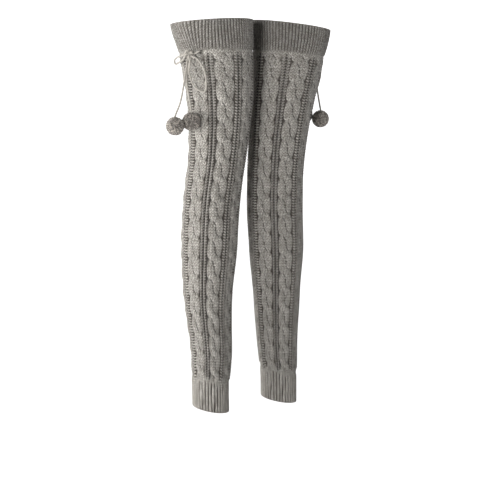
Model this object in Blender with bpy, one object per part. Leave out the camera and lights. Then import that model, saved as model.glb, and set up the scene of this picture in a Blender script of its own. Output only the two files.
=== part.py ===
"""A pair of long cable-knit leg warmers with drawstring bows and pompoms.

The pair keeps its worn, hollow form. The scene is in metres with +Z up and the
wearer's front towards -Y. The origin lies midway between the two top openings.
Lengths in the tables and constants below are in millimetres, angles in degrees.
"""

import math
from collections import namedtuple

import bmesh
import bpy
from mathutils import Vector

MM = 0.001
COLLECTION = "cable_knit_leg_warmers"

# Driving sizes of the knitting
LENGTH = 660.0
TOP_CUFF_LENGTH = 47.0
ANKLE_CUFF_LENGTH = 52.0
SEAM_GAP = 0.3
INNER_DEPTH = 6.2
TOP_RIBS = 54
ANKLE_RIBS = 36
RIB_GROOVE_DEPTH = 2.2
CUFF_ROWS = 2
CABLES = 7
CROSSINGS = 17
CABLE_LEAN = 0.27
REPEAT_WALES = 9
SEAM_STRIP_ANGLE = 18.4
INNER_ROWS = 8

# The gathers that the drawstring pulls into the cuff's lower edge
GATHER = 0.3
GATHER_WIDTH = 30.0

# Driving sizes of the drawstrings
CORD_RADIUS = 1.5
CORD_STEP = 7.5
SMOOTHING = 16
LOOP_STEP = 5.5
EXIT_STEP = 4.0
BAND_STOPS = 34
BAND_CLEARANCE = 0.9
TOUCH = 0.35
KNOT_RADIUS = 5.0
KNOT_TOUCH = 0.55
KNOT_HEIGHT = -52.5
EYELET_ANGLE = 12.5
EYELET_DEPTH = 6.9
EYELET_MIDDLE = 2.1
POMPOM_RADIUS = 15.5
POMPOM_CORE_RADIUS = 9.6
LOCK_TIP_SCALE = 0.5
LOCK_LENGTHS = (1.0, 0.955, 0.985, 0.94, 0.97)

# How far the rims slope along the line from the outer back to the inner front
SLOPE_LINE = Vector((0.848, -0.53, 0.0))
ANKLE_SLOPE = -0.155
TOP_SLOPE_ENDS = -150.0
ANKLE_SLOPE_STARTS = -460.0

Station = namedtuple("Station", "height spacing back half_x half_y")
STATIONS = (
    Station(0.0, 158.5, 0.0, 68.2, 72.5),
    Station(-45.0, 146.5, -3.0, 61.7, 66.0),
    Station(-133.0, 127.5, 3.0, 53.8, 58.3),
    Station(-218.0, 121.0, 14.5, 48.5, 53.0),
    Station(-303.0, 130.0, 27.5, 47.5, 52.5),
    Station(-388.0, 138.5, 29.5, 46.5, 52.0),
    Station(-473.0, 142.0, 30.0, 40.5, 44.0),
    Station(-558.0, 137.0, 24.5, 35.0, 38.5),
    Station(-614.0, 141.5, 23.0, 31.5, 36.5),
    Station(-660.0, 141.5, 22.0, 31.2, 36.0),
)

# How far each column of the knitting lies below the crest of a cable
Relief = namedtuple("Relief", "ridge_row groove_row lean")
TROUGH = Relief(4.4, 4.4, 0.0)
RIB = Relief(1.3, 1.6, 0.0)
SEAM = Relief(2.6, 2.6, 0.0)
CABLE_LEFT = Relief(0.6, 3.3, 1.0)
CABLE_MIDDLE = Relief(0.0, 2.7, 0.0)
CABLE_RIGHT = Relief(0.6, 3.3, -1.0)

# Wales from the middle of a channel's knit column, and what lies there
CHANNEL_COLUMNS = (
    (-1.05, TROUGH),
    (0.0, RIB),
    (1.05, TROUGH),
)
CABLE_COLUMNS = (
    (2.4, CABLE_LEFT),
    (4.5, CABLE_MIDDLE),
    (6.6, CABLE_RIGHT),
)

Leg = namedtuple("Leg", "name side seam_angle knot_angle top_slope")
LEGS = (
    Leg("right", -1, 70.0, 201.2, 0.056),
    Leg("left", 1, 77.0, 10.0, -0.125),
)

# A cord's route beside the knot: along the cloth towards the front, up, and out
Route = namedtuple("Route", "front up out")
FRONT_LOOP = (
    Route(12.0, -9.5, 8.5),
    Route(18.0, -22.0, 8.0),
    Route(20.5, -36.0, 7.5),
    Route(19.3, -53.0, 7.0),
    Route(15.3, -62.0, 7.2),
    Route(8.3, -60.0, 9.2),
    Route(1.5, -52.5, 11.7),
    Route(-1.5, -40.0, 13.0),
    Route(-2.0, -26.5, 13.3),
    Route(0.5, -14.5, 12.0),
)
BACK_LOOP = (
    Route(-13.0, -1.5, 9.0),
    Route(-27.0, -3.5, 9.5),
    Route(-39.0, -7.0, 10.0),
    Route(-44.0, -10.5, 10.0),
    Route(-40.0, -14.5, 9.5),
    Route(-30.0, -13.0, 8.5),
    Route(-17.0, -8.5, 7.5),
)

# Where each cord leaves the knot, as directions to the front, up and out
Leave = namedtuple("Leave", "front up out")
BAND_LEAVES = (Leave(-0.93, 0.1, -0.36), Leave(0.93, 0.1, -0.36))
BACK_LOOP_LEAVES = (Leave(-0.6, 0.65, 0.5), Leave(-0.85, -0.1, 0.5))
FRONT_LOOP_LEAVES = (Leave(0.7, -0.55, 0.45), Leave(0.15, -0.45, 0.88))
OUTER_TAIL = Leave(-0.5, -0.8, 0.35)
INNER_TAIL = Leave(-0.3, -0.85, -0.45)
FRONT_TAIL = Leave(0.25, -0.95, -0.2)

# The tails hang straight down while the leg narrows behind them
Tail = namedtuple("Tail", "name leave points pompom")
TAILS = {
    "right": (
        Tail("a", OUTER_TAIL,
             (Route(-5.5, -21.0, 13.5), Route(-6.5, -47.0, 23.0), Route(-8.0, -78.0, 33.0)),
             Route(-9.2, -118.6, 45.4)),
        Tail("b", INNER_TAIL,
             (Route(-6.5, -21.0, 8.0), Route(-8.7, -49.0, 13.7), Route(-8.0, -80.0, 12.4)),
             Route(-5.5, -111.1, 14.7)),
    ),
    "left": (
        Tail("a", FRONT_TAIL,
             (Route(2.8, -24.0, 9.5), Route(6.0, -55.0, 19.4), Route(9.5, -80.0, 26.5)),
             Route(11.5, -107.7, 32.4)),
        Tail("b", INNER_TAIL,
             (Route(-9.0, -24.0, 8.0), Route(-11.5, -52.0, 13.0), Route(-10.0, -76.0, 15.8)),
             Route(-7.9, -100.9, 17.8)),
    ),
}
TAIL_DROP = 6.0

Paint = namedtuple("Paint", "colour roughness")
PAINTS = {
    "leg": Paint((0.25, 0.235, 0.215), 0.95),
    "top_cuff": Paint((0.27, 0.25, 0.23), 0.95),
    "ankle_cuff": Paint((0.26, 0.24, 0.22), 0.95),
    "cord": Paint((0.36, 0.34, 0.31), 0.9),
    "pompom": Paint((0.13, 0.125, 0.12), 1.0),
}


def clamp(value, low=0.0, high=1.0):
    """Value, kept between low and high."""
    return max(low, min(high, value))


def smooth_between(before, start, end, after, share):
    """Point at share of the way from start to end on a Catmull-Rom curve."""
    square = share * share
    cube = square * share
    return (
        start
        + (end - before) * (0.5 * share)
        + (before * 2.0 - start * 5.0 + end * 4.0 - after) * (0.5 * square)
        + (start * 3.0 - before - end * 3.0 + after) * (0.5 * cube)
    )


def station_at(height):
    """Section of a leg at a height, smooth through the rows of STATIONS."""
    last = len(STATIONS) - 1
    below = 1
    while below < last and STATIONS[below].height > height:
        below += 1
    above = below - 1
    start, end = STATIONS[above], STATIONS[below]
    before = STATIONS[max(above - 1, 0)]
    after = STATIONS[min(below + 1, last)]
    share = clamp((height - start.height) / (end.height - start.height))
    values = [smooth_between(*four, share) for four in zip(before[1:], start[1:], end[1:], after[1:])]
    return Station(height, *values)


def surface_point(leg, angle, height, out=0.0):
    """Point of a leg's crest surface, or out millimetres outside it."""
    station = station_at(height)
    turn = math.radians(angle)
    aside = Vector(((station.half_x + out) * math.cos(turn), (station.half_y + out) * math.sin(turn), 0.0))
    middle = Vector((leg.side * station.spacing / 2, station.back, height))
    top_share = clamp(1.0 - height / TOP_SLOPE_ENDS)
    ankle_share = clamp((height - ANKLE_SLOPE_STARTS) / (-LENGTH - ANKLE_SLOPE_STARTS))
    slope = leg.top_slope * top_share + ANKLE_SLOPE * ankle_share
    middle.z += slope * aside.dot(SLOPE_LINE)
    return middle + aside


def beside_knot(leg, route):
    """Point that lies along the cloth from a leg's knot."""
    height = KNOT_HEIGHT + route.up
    station = station_at(height)
    radius = (station.half_x + station.half_y) / 2
    forward = -leg.side
    angle = leg.knot_angle + forward * math.degrees(route.front / radius)
    return surface_point(leg, angle, height, route.out)


def knot_frame(leg):
    """Centre of a leg's knot with its directions to the front, up and out."""
    centre = surface_point(leg, leg.knot_angle, KNOT_HEIGHT, KNOT_RADIUS + TOUCH)
    turn = math.radians(leg.knot_angle)
    out = Vector((math.cos(turn), math.sin(turn), 0.0))
    up = Vector((0.0, 0.0, 1.0))
    front = up.cross(out) * -leg.side
    return centre, front, up, out


def leaving_points(leg, leave):
    """The first two points of a cord that leaves the knot."""
    centre, front, up, out = knot_frame(leg)
    direction = (front * leave.front + up * leave.up + out * leave.out).normalized()
    near = KNOT_RADIUS + KNOT_TOUCH
    far = near + 2 * CORD_RADIUS
    return [centre + direction * near, centre + direction * far]


def new_material(name, paint):
    """Principled material in one plain colour."""
    material = bpy.data.materials.new(name)
    material.use_nodes = True
    shader = material.node_tree.nodes["Principled BSDF"]
    shader.inputs["Base Color"].default_value = (*paint.colour, 1.0)
    shader.inputs["Roughness"].default_value = paint.roughness
    shader.inputs["Metallic"].default_value = 0.0
    material.diffuse_color = (*paint.colour, 1.0)
    return material


def finish_object(name, data, kind, collection):
    """Link an object with its own material and return it."""
    data.materials.append(new_material(f"{name}_{kind}", PAINTS[kind]))
    made = bpy.data.objects.new(name, data)
    collection.objects.link(made)
    return made


def mesh_object(name, mesh_builder, kind, collection):
    """Turn a bmesh into a flat-shaded object in the scene's metres."""
    bmesh.ops.scale(mesh_builder, vec=(MM, MM, MM), verts=mesh_builder.verts)
    mesh = bpy.data.meshes.new(name)
    mesh_builder.to_mesh(mesh)
    mesh_builder.free()
    return finish_object(name, mesh, kind, collection)


def add_band(mesh_builder, upper, lower):
    """Faces between two closed rings of equal length, facing away from the axis."""
    count = len(upper)
    for index in range(count):
        following = (index + 1) % count
        corners = (upper[index], lower[index], lower[following], upper[following])
        mesh_builder.faces.new(corners)


def add_rim(mesh_builder, outer, inner):
    """Upward faces from an outer ring to an inner ring with as many or half the points."""
    ratio = len(outer) // len(inner)
    for index, corner in enumerate(inner):
        following = inner[(index + 1) % len(inner)]
        edge = [outer[(index * ratio + step) % len(outer)] for step in range(ratio + 1)]
        if ratio == 1:
            mesh_builder.faces.new((edge[0], edge[1], following, corner))
        else:
            mesh_builder.faces.new((edge[0], edge[1], corner))
            mesh_builder.faces.new((edge[1], following, corner))
            mesh_builder.faces.new((edge[1], edge[2], following))


def knitted_tube(name, outer_rows, inner_rows, kind, collection):
    """Closed wall between outer and inner rings, each listed from the top down."""
    builder = bmesh.new()
    outer = [[builder.verts.new(point) for point in row] for row in outer_rows]
    inner = [[builder.verts.new(point) for point in row] for row in inner_rows]
    for upper, lower in zip(outer, outer[1:]):
        add_band(builder, upper, lower)
    for upper, lower in zip(inner, inner[1:]):
        add_band(builder, lower, upper)
    add_rim(builder, outer[0], inner[0])
    first_face = len(builder.faces)
    add_rim(builder, outer[-1], inner[-1])
    builder.faces.ensure_lookup_table()
    bmesh.ops.reverse_faces(builder, faces=builder.faces[first_face:])
    return mesh_object(name, builder, kind, collection)


def leg_columns(leg):
    """Angle and relief of each column of the knitting, from the back seam round."""
    wale = (360.0 - SEAM_STRIP_ANGLE) / CABLES / REPEAT_WALES
    columns = [(leg.seam_angle, SEAM)]
    for repeat in range(CABLES + 1):
        start = leg.seam_angle + SEAM_STRIP_ANGLE / 2 + repeat * wale * REPEAT_WALES
        columns += [(start + wales * wale, relief) for wales, relief in CHANNEL_COLUMNS]
        if repeat < CABLES:
            columns += [(start + wales * wale, relief) for wales, relief in CABLE_COLUMNS]
    return columns


def eyelet_angles(leg):
    """Angles of the two knit columns where the drawstring comes through the cloth."""
    angles = [angle for angle, _ in leg_columns(leg)]

    def nearest(target):
        return min(angles, key=lambda angle: abs((angle - target + 180.0) % 360.0 - 180.0))

    forward = -leg.side
    return [nearest(leg.knot_angle + forward * step) for step in (-EYELET_ANGLE, EYELET_ANGLE)]


def cabled_leg(leg, collection):
    """The leg between the cuffs, with leaning cables, ribbed channels and a back seam."""
    top = -TOP_CUFF_LENGTH - SEAM_GAP
    bottom = -LENGTH + ANKLE_CUFF_LENGTH
    columns = leg_columns(leg)
    eyelets = eyelet_angles(leg)
    rows = 2 * CROSSINGS
    pitch = (top - bottom) / CROSSINGS

    def row_points(share, relief_depth, lean_height):
        points = []
        for angle, relief in columns:
            height = top + (bottom - top) * share + lean_height * relief.lean
            if share == 0.0 and angle in eyelets:
                height -= EYELET_DEPTH
            points.append(surface_point(leg, angle, height, -relief_depth(relief)))
        return points

    outer_rows = []
    for row in range(rows + 1):
        at_edge = row in (0, rows)
        lean_height = 0.0 if at_edge else CABLE_LEAN * pitch
        on_ridge = row % 2 == 1
        depth = (lambda relief: relief.ridge_row) if on_ridge else (lambda relief: relief.groove_row)
        outer_rows.append(row_points(row / rows, depth, lean_height))
    plain = lambda relief: INNER_DEPTH
    inner_rows = [row_points(row / INNER_ROWS, plain, 0.0) for row in range(INNER_ROWS + 1)]
    knitted_tube(f"{leg.name}_leg", outer_rows, inner_rows, "leg", collection)


def gathered_angle(leg, angle, share):
    """Angle of a rib, drawn towards the knot by a share of the full gather."""
    apart = (angle - leg.knot_angle + 180.0) % 360.0 - 180.0
    pull = GATHER * share * math.exp(-((apart / GATHER_WIDTH) ** 2))
    return leg.knot_angle + apart * (1.0 - pull)


def ribbed_cuff(leg, part_name, ribs, top, bottom, gathered, collection):
    """A tube of single ribs between two heights."""
    columns = 2 * ribs

    def row_points(share, step, outside):
        points = []
        for column in range(0, columns, step):
            angle = leg.seam_angle + column * 360.0 / columns
            if gathered:
                angle = gathered_angle(leg, angle, share)
            in_groove = column % 2 == 0
            depth = (RIB_GROOVE_DEPTH if in_groove else 0.0) if outside else INNER_DEPTH
            points.append(surface_point(leg, angle, top + (bottom - top) * share, -depth))
        return points

    shares = [row / CUFF_ROWS for row in range(CUFF_ROWS + 1)]
    outer_rows = [row_points(share, 1, True) for share in shares]
    inner_rows = [row_points(share, 2, False) for share in shares]
    knitted_tube(f"{leg.name}_{part_name}", outer_rows, inner_rows, part_name, collection)


def smooth_route(points, step):
    """Points about step apart on a smooth curve through the given points."""
    ends = [points[0], *points, points[-1]]
    fine = []
    for index in range(len(points) - 1):
        four = ends[index:index + 4]
        fine += [smooth_between(*four, share / SMOOTHING) for share in range(SMOOTHING)]
    fine.append(points[-1])
    length = sum((end - start).length for start, end in zip(fine, fine[1:]))
    count = max(2, round(length / step))
    route = [fine[0]]
    walked = 0.0
    for start, end in zip(fine, fine[1:]):
        walked += (end - start).length
        if walked >= length / count * len(route) and len(route) < count:
            route.append(end)
    route.append(fine[-1])
    return route


def cord_object(name, route, collection):
    """Round cord through the points of a route."""
    curve = bpy.data.curves.new(name, "CURVE")
    curve.dimensions = "3D"
    curve.bevel_depth = CORD_RADIUS * MM
    curve.bevel_resolution = 2
    curve.use_fill_caps = True
    spline = curve.splines.new("POLY")
    spline.points.add(len(route) - 1)
    for spline_point, place in zip(spline.points, route):
        spline_point.co = (*(place * MM), 1.0)
    return finish_object(name, curve, "cord", collection)


def drawstring(leg, collection):
    """The hidden run of the drawstring round the inside, out through both eyelets."""
    back, front = eyelet_angles(leg)
    forward = -leg.side
    height = -TOP_CUFF_LENGTH - EYELET_MIDDLE
    inside = -(INNER_DEPTH + CORD_RADIUS + BAND_CLEARANCE)
    sweep = 360.0 - forward * (front - back) % 360.0

    ring = []
    for stop in range(1, BAND_STOPS):
        angle = back - forward * sweep * stop / BAND_STOPS
        ring.append(surface_point(leg, angle, height, inside))
    through_wall = (CORD_RADIUS, -INNER_DEPTH / 2, -INNER_DEPTH)
    back_exit = [surface_point(leg, back, height, out) for out in through_wall]
    front_exit = [surface_point(leg, front, height, out) for out in reversed(through_wall)]
    back_end, front_end = [leaving_points(leg, leave) for leave in BAND_LEAVES]
    back_part = smooth_route([*back_end, *back_exit, *ring[:2]], EXIT_STEP)
    front_part = smooth_route([*ring[-2:], *front_exit, *reversed(front_end)], EXIT_STEP)
    cord_object(f"{leg.name}_drawstring", [*back_part, *ring[2:-2], *front_part], collection)


def knot(leg, collection):
    """The small round knot in the middle of a bow."""
    centre = knot_frame(leg)[0]
    builder = bmesh.new()
    bmesh.ops.create_icosphere(builder, subdivisions=2, radius=KNOT_RADIUS)
    bmesh.ops.translate(builder, vec=centre, verts=builder.verts)
    mesh_object(f"{leg.name}_knot", builder, "cord", collection)


def bow_loop(leg, loop_name, rows, leaves, collection):
    """One loop of a bow, from the knot and back to it."""
    start, end = [leaving_points(leg, leave) for leave in leaves]
    route = [*start, *(beside_knot(leg, row) for row in rows), *reversed(end)]
    cord_object(f"{leg.name}_{loop_name}", smooth_route(route, LOOP_STEP), collection)


def hanging_tail(leg, tail, collection):
    """One free end of the drawstring, from the knot down into its pompom."""
    centre = beside_knot(leg, tail.pompom)
    seat = centre + Vector((0.0, 0.0, POMPOM_CORE_RADIUS + TOUCH))
    drop = seat + Vector((0.0, 0.0, TAIL_DROP))
    start = leaving_points(leg, tail.leave)
    points = [*start, *(beside_knot(leg, spot) for spot in tail.points), drop, seat]
    cord_object(f"{leg.name}_tail_{tail.name}", smooth_route(points, CORD_STEP), collection)


def pompom(leg, tail, collection):
    """A ball of cut-yarn locks on a round core, open at the top for its cord."""
    seed = bmesh.new()
    bmesh.ops.create_icosphere(seed, subdivisions=1, radius=1.0)
    bmesh.ops.poke(seed, faces=seed.faces)
    directions = [vert.co.normalized() for vert in seed.verts]
    seed.free()

    builder = bmesh.new()
    for direction in directions:
        builder.verts.new(direction * POMPOM_CORE_RADIUS)
    bmesh.ops.convex_hull(builder, input=builder.verts)
    crown = max(builder.verts, key=lambda vert: vert.co.z)
    locks = [face for face in builder.faces if crown not in face.verts]
    tips = bmesh.ops.extrude_discrete_faces(builder, faces=locks)["faces"]
    for index, tip in enumerate(tips):
        middle = tip.calc_center_median()
        reach = POMPOM_RADIUS * LOCK_LENGTHS[index % len(LOCK_LENGTHS)]
        for vert in tip.verts:
            aside = (vert.co - middle) * LOCK_TIP_SCALE
            vert.co = (middle + aside).normalized() * reach
    bmesh.ops.translate(builder, vec=beside_knot(leg, tail.pompom), verts=builder.verts)
    mesh_object(f"{leg.name}_pompom_{tail.name}", builder, "pompom", collection)


def leg_warmer(leg, collection):
    """One leg warmer with its drawstring, bow and pompoms."""
    ankle_top = -LENGTH + ANKLE_CUFF_LENGTH - SEAM_GAP
    ribbed_cuff(leg, "top_cuff", TOP_RIBS, 0.0, -TOP_CUFF_LENGTH, True, collection)
    cabled_leg(leg, collection)
    ribbed_cuff(leg, "ankle_cuff", ANKLE_RIBS, ankle_top, -LENGTH, False, collection)
    drawstring(leg, collection)
    knot(leg, collection)
    bow_loop(leg, "loop_back", BACK_LOOP, BACK_LOOP_LEAVES, collection)
    bow_loop(leg, "loop_front", FRONT_LOOP, FRONT_LOOP_LEAVES, collection)
    for tail in TAILS[leg.name]:
        hanging_tail(leg, tail, collection)
        pompom(leg, tail, collection)


def main():
    """Clear the scene and build the pair."""
    for old in list(bpy.data.objects):
        bpy.data.objects.remove(old)
    collection = bpy.data.collections.new(COLLECTION)
    bpy.context.scene.collection.children.link(collection)
    for leg in LEGS:
        leg_warmer(leg, collection)


main()
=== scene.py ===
"""Scene of a pair of grey cable-knit leg warmers with drawstring bows and pompoms.

Lengths in the tables are millimetres and angles are degrees, as in the part's source. Meshes are made in metres.
"""

import logging
import math
from dataclasses import dataclass, field
from enum import Enum

import bpy
import numpy as np
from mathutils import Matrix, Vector


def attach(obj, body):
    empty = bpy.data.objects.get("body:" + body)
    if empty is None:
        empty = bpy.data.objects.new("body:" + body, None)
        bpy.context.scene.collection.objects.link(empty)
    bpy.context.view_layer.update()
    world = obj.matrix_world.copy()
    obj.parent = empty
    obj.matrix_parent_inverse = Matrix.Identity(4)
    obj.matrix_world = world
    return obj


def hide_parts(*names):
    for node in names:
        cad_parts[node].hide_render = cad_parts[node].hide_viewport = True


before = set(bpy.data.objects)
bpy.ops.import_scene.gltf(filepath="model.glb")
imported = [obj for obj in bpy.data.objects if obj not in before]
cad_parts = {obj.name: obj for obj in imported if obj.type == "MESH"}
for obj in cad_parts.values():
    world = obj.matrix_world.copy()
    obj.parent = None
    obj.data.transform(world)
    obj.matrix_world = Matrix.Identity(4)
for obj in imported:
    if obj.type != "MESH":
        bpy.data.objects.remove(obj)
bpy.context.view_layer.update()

LOG = logging.getLogger("leg_warmers")
MM = 0.001
BODY = "root"
KNIT_MAP = "Knit"

# Height, spacing of the pair, set back, half width and half depth of a leg warmer
STATIONS = np.array((
    (0.0, 158.5, 0.0, 68.2, 72.5),
    (-45.0, 146.5, -3.0, 61.7, 66.0),
    (-133.0, 127.5, 3.0, 53.8, 58.3),
    (-218.0, 121.0, 14.5, 48.5, 53.0),
    (-303.0, 130.0, 27.5, 47.5, 52.5),
    (-388.0, 138.5, 29.5, 46.5, 52.0),
    (-473.0, 142.0, 30.0, 40.5, 44.0),
    (-558.0, 137.0, 24.5, 35.0, 38.5),
    (-614.0, 141.5, 23.0, 31.5, 36.5),
    (-660.0, 141.5, 22.0, 31.2, 36.0),
))
SLOPE_LINE = np.array((0.848, -0.53))
ANKLE_SLOPE = -0.155
TOP_SLOPE_ENDS = -150.0
ANKLE_SLOPE_STARTS = -460.0
LENGTH = 660.0
TOP_CUFF_LENGTH = 47.0
ANKLE_CUFF_LENGTH = 52.0
INNER_DEPTH = 6.2
MIDDLE_DEPTH = 3.0

CORD_RADIUS = 1.5
KNOT_RADIUS = 5.0
KNOT_HEIGHT = -52.5
KNOT_TOUCH = 0.55
TOUCH = 0.35
POMPOM_RADIUS = 15.5
POMPOM_CORE_RADIUS = 9.6
TAIL_DROP = 6.0

EDGE_DEPTH = 1.7
EDGE_BEAT = 0.3
CLIMB = 0.8

FLECK_SCALE = 620.0
PATCH_SCALE = 75.0
FIBRE_SCALE = 2600.0

Row = tuple[float, float, float]


class Yarn(Enum):
    """Yarns that the pair is made of, by material slot."""

    CABLE = "cable_knit"
    RIB = "rib_knit"
    CORD = "cord_yarn"
    POMPOM = "pompom_yarn"


def smooth_between(before, start, end, after, share):
    """Point at a share of the way from start to end on a Catmull-Rom curve.

    Args:
        before: Point or values before start.
        start: Values at share 0.
        end: Values at share 1.
        after: Point or values after end.
        share: Share of the way, 0 to 1.

    Returns:
        The values at that share.
    """
    square = share * share
    cube = square * share
    return (
        start
        + (end - before) * (0.5 * share)
        + (before * 2.0 - start * 5.0 + end * 4.0 - after) * (0.5 * square)
        + (start * 3.0 - before - end * 3.0 + after) * (0.5 * cube)
    )


def cap(reach: np.ndarray) -> np.ndarray:
    """Height of a half round, 1 at the middle and 0 from reach 1 outwards."""
    return np.sqrt(np.clip(1.0 - reach * reach, 0.0, 1.0))


def bell(reach: np.ndarray) -> np.ndarray:
    """Height of a soft bump, 1 at the middle and next to nothing from reach 2 outwards."""
    return np.exp(-(reach**2))


def soft_step(share: np.ndarray) -> np.ndarray:
    """Share of the way from 0 to 1 with soft ends."""
    share = np.clip(share, 0.0, 1.0)
    return share * share * (3.0 - 2.0 * share)


def degrees_apart(angles: np.ndarray, other: float) -> np.ndarray:
    """How far angles are past another one, from -180 to 180."""
    return (angles - other + 180.0) % 360.0 - 180.0


def linked(name: str, data: bpy.types.ID) -> bpy.types.Object:
    """A new object of the scene."""
    piece = bpy.data.objects.new(name, data)
    bpy.context.scene.collection.objects.link(piece)
    return piece


def stand_in(piece: bpy.types.Object, name: str) -> None:
    """Sets a piece on the body, in place of a solid."""
    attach(piece, BODY)
    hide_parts(name)


@dataclass(frozen=True)
class LegForm:
    """The outline of one leg warmer, from the same named sizes as its solids."""

    name: str
    side: float
    seam_angle: float
    knot_angle: float
    top_slope: float
    pull: Row = (1.3, 11.0, 11.0)
    folds: Row = (1.0, 24.0, 15.0)
    fold_step: float = 5.5
    seam_waves: tuple[Row, ...] = ((2.0, 5.0, 1.0), (1.9, 13.0, 2.0), (1.3, 29.0, 0.0))
    seam_reach: tuple[float, float] = (-608.0, 16.0)
    loose_by: float = 1.8
    loose_bearing: float = -32.0
    loose_reach: tuple[float, float] = (-120.0, 68.0)

    def place(self, angles: np.ndarray, heights: np.ndarray, outs: np.ndarray) -> np.ndarray:
        """Points on or beside the crest surface.

        Args:
            angles: Angles round the leg, in degrees.
            heights: Heights, in millimetres.
            outs: Distances outside the crest surface, in millimetres.

        Returns:
            Points in metres, with one more axis than the inputs.
        """
        angles, heights, outs = np.broadcast_arrays(angles, heights, outs)
        last = len(STATIONS) - 1
        below = np.clip(np.searchsorted(-STATIONS[:, 0], -heights, side="left"), 1, last)
        above = below - 1
        before, after = np.maximum(above - 1, 0), np.minimum(below + 1, last)
        start_height, end_height = STATIONS[above, 0], STATIONS[below, 0]
        share = np.clip((heights - start_height) / (end_height - start_height), 0.0, 1.0)[..., None]
        rows = STATIONS[:, 1:]
        section = smooth_between(rows[before], rows[above], rows[below], rows[after], share)
        spacing, back, half_x, half_y = np.moveaxis(section, -1, 0)
        turn = np.radians(angles)
        aside_x = (half_x + outs) * np.cos(turn)
        aside_y = (half_y + outs) * np.sin(turn)
        top_share = np.clip(1.0 - heights / TOP_SLOPE_ENDS, 0.0, 1.0)
        ankle_share = np.clip((heights - ANKLE_SLOPE_STARTS) / (-LENGTH - ANKLE_SLOPE_STARTS), 0.0, 1.0)
        slope = self.top_slope * top_share + ANKLE_SLOPE * ankle_share
        z = heights + slope * (aside_x * SLOPE_LINE[0] + aside_y * SLOPE_LINE[1])
        return np.stack((self.side * spacing / 2 + aside_x, back + aside_y, z), axis=-1) * MM

    def point(self, angle: float, height: float, out: float = 0.0) -> Vector:
        """One point beside the crest surface, in metres."""
        return Vector(self.place(np.float64(angle), np.float64(height), np.float64(out)))

    def pucker(self, angles: np.ndarray, heights: np.ndarray) -> np.ndarray:
        """How far the tied drawstring pulls the cloth in round the knot, in millimetres."""
        apart, below = degrees_apart(angles, self.knot_angle), heights - KNOT_HEIGHT
        (pull, pull_width, pull_height), (fold, fold_width, fold_height) = self.pull, self.folds
        near = np.exp(-((apart / pull_width) ** 2) - (below / pull_height) ** 2)
        wide = np.exp(-((apart / fold_width) ** 2) - (below / fold_height) ** 2)
        return pull * near + fold * (0.5 + 0.5 * np.cos(math.pi * apart / self.fold_step)) * wide

    def seam_wave(self, angles: np.ndarray, heights: np.ndarray) -> np.ndarray:
        """How far the cloth near the ankle seam runs up or down, in millimetres."""
        turn = np.radians(angles)
        wave = sum(rise * np.sin(times * turn + start) for rise, times, start in self.seam_waves)
        middle, reach = self.seam_reach
        return wave * bell((heights - middle) / reach)

    def loose(self, angles: np.ndarray, heights: np.ndarray) -> np.ndarray:
        """How far the stretched top stands out on the inner side, in millimetres."""
        inner = np.cos(np.radians(angles - self.loose_bearing)) * -self.side
        middle, reach = self.loose_reach
        return self.loose_by * np.clip(inner, 0.0, 1.0) ** 2 * bell((heights - middle) / reach)

    def girth(self, height: float, depth: float) -> float:
        """Length round the cloth at a height, in metres."""
        ring = self.place(np.linspace(0.0, 360.0, 181), np.float64(height), np.float64(-depth))
        return float(np.linalg.norm(np.diff(ring, axis=0), axis=1).sum())

    def beside_knot(self, row: Row) -> Vector:
        """Point given by its way forward, up and out from the knot along the cloth."""
        forward, up, out = row
        height = KNOT_HEIGHT + up
        ends = self.place(np.array((0.0, 180.0, 90.0, 270.0)), np.float64(height), np.float64(0.0))
        half_x = np.linalg.norm((ends[0] - ends[1])[:2]) / 2
        half_y = np.linalg.norm((ends[2] - ends[3])[:2]) / 2
        radius = (half_x + half_y) / 2 / MM
        angle = self.knot_angle - self.side * math.degrees(forward / radius)
        return self.point(angle, height, out)

    def knot_frame(self) -> tuple[Vector, Vector, Vector, Vector]:
        """Centre of the knot with its directions to the front, up and out."""
        centre = self.point(self.knot_angle, KNOT_HEIGHT, KNOT_RADIUS + TOUCH)
        turn = math.radians(self.knot_angle)
        out = Vector((math.cos(turn), math.sin(turn), 0.0))
        up = Vector((0.0, 0.0, 1.0))
        return centre, up.cross(out) * -self.side, up, out

    def leaving_points(self, leave: Row) -> list[Vector]:
        """The first two points of a cord that leaves the knot, in metres."""
        centre, front, up, out = self.knot_frame()
        direction = (front * leave[0] + up * leave[1] + out * leave[2]).normalized()
        near = (KNOT_RADIUS + KNOT_TOUCH) * MM
        return [centre + direction * near, centre + direction * (near + 2 * CORD_RADIUS * MM)]


@dataclass(frozen=True)
class Mesh:
    """Points, faces, map and values of a mesh that is still to be made."""

    points: np.ndarray
    faces: np.ndarray
    corners: np.ndarray
    values: dict[str, np.ndarray] = field(default_factory=dict)
    caps: tuple[tuple[int, ...], ...] = ()

    def make(self, name: str, material: bpy.types.Material) -> bpy.types.Object:
        """Makes the object, smooth shaded, at the origin.

        Args:
            name: Name of the object.
            material: Finish of all faces.

        Returns:
            The new object.
        """
        data = bpy.data.meshes.new(name)
        faces = self.faces.tolist() + [list(ring) for ring in self.caps]
        data.from_pydata(self.points.tolist(), [], faces)
        layer = data.uv_layers.new(name=KNIT_MAP)
        ends = np.zeros((sum(len(ring) for ring in self.caps), 2))
        layer.data.foreach_set("uv", np.concatenate((self.corners, ends)).astype(np.float32).ravel())
        for label, amounts in self.values.items():
            attribute = data.attributes.new(label, "FLOAT", "POINT")
            attribute.data.foreach_set("value", amounts.astype(np.float32).ravel())
        data.polygons.foreach_set("use_smooth", [True] * len(data.polygons))
        data.materials.append(material)
        data.update()
        return linked(name, data)


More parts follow.
